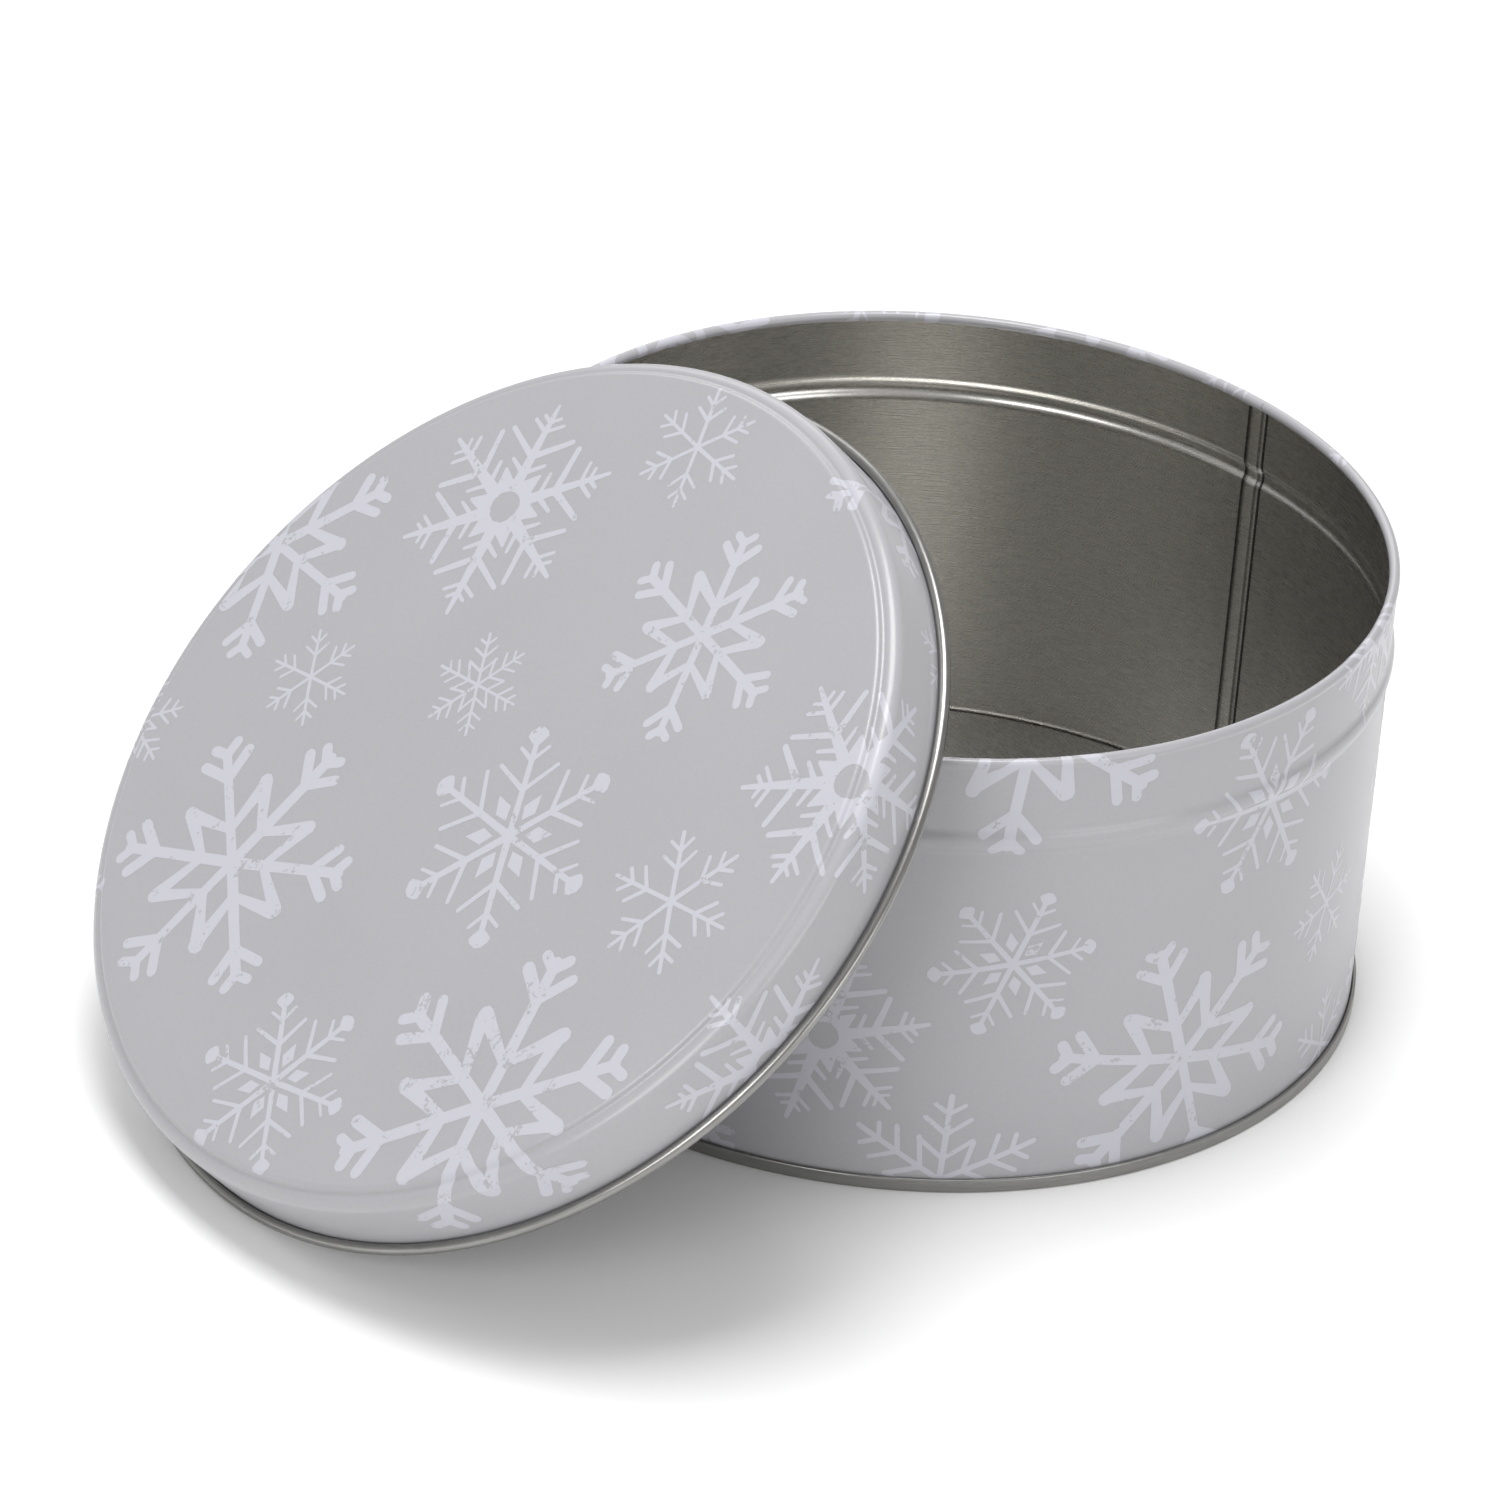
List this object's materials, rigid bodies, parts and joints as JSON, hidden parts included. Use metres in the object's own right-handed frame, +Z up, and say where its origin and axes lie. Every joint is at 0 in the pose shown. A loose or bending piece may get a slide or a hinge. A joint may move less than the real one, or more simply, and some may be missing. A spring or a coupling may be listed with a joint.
{
  "type": "candle tin",
  "caption": "Round tinplate box with a slip-over lid leaning on its rim; rolled side wall with a folded seam, seamed bottom end and drawn lid.",
  "frame": {"origin": "centre of the box's foot, on the table", "axes": "+Z up along the box's axis; -X towards the side that the lid leans on, with its lower edge on the table; +Y completes the right-handed set"},
  "size_m": [0.2789, 0.2064, 0.1424],
  "materials": {
    "printed_tinplate_wall": "silver-grey lacquer with pale printed snowflakes outside, bare tinplate inside",
    "bare_tinplate": "bare tinplate with fine grain",
    "printed_tinplate_lid": "silver-grey lacquer with pale printed snowflakes outside, bare tinplate inside and at the rolled edge"
  },
  "bodies": {
    "box": {"side_wall": "printed_tinplate_wall", "bottom_end": "bare_tinplate"},
    "lid": {"lid": "printed_tinplate_lid"}
  },
  "joints": [
    {"name": "lid_lift", "type": "slide", "parent": "box", "child": "lid", "axis": [0, 0, 1], "range_m": [0, 0.13]}
  ]
}
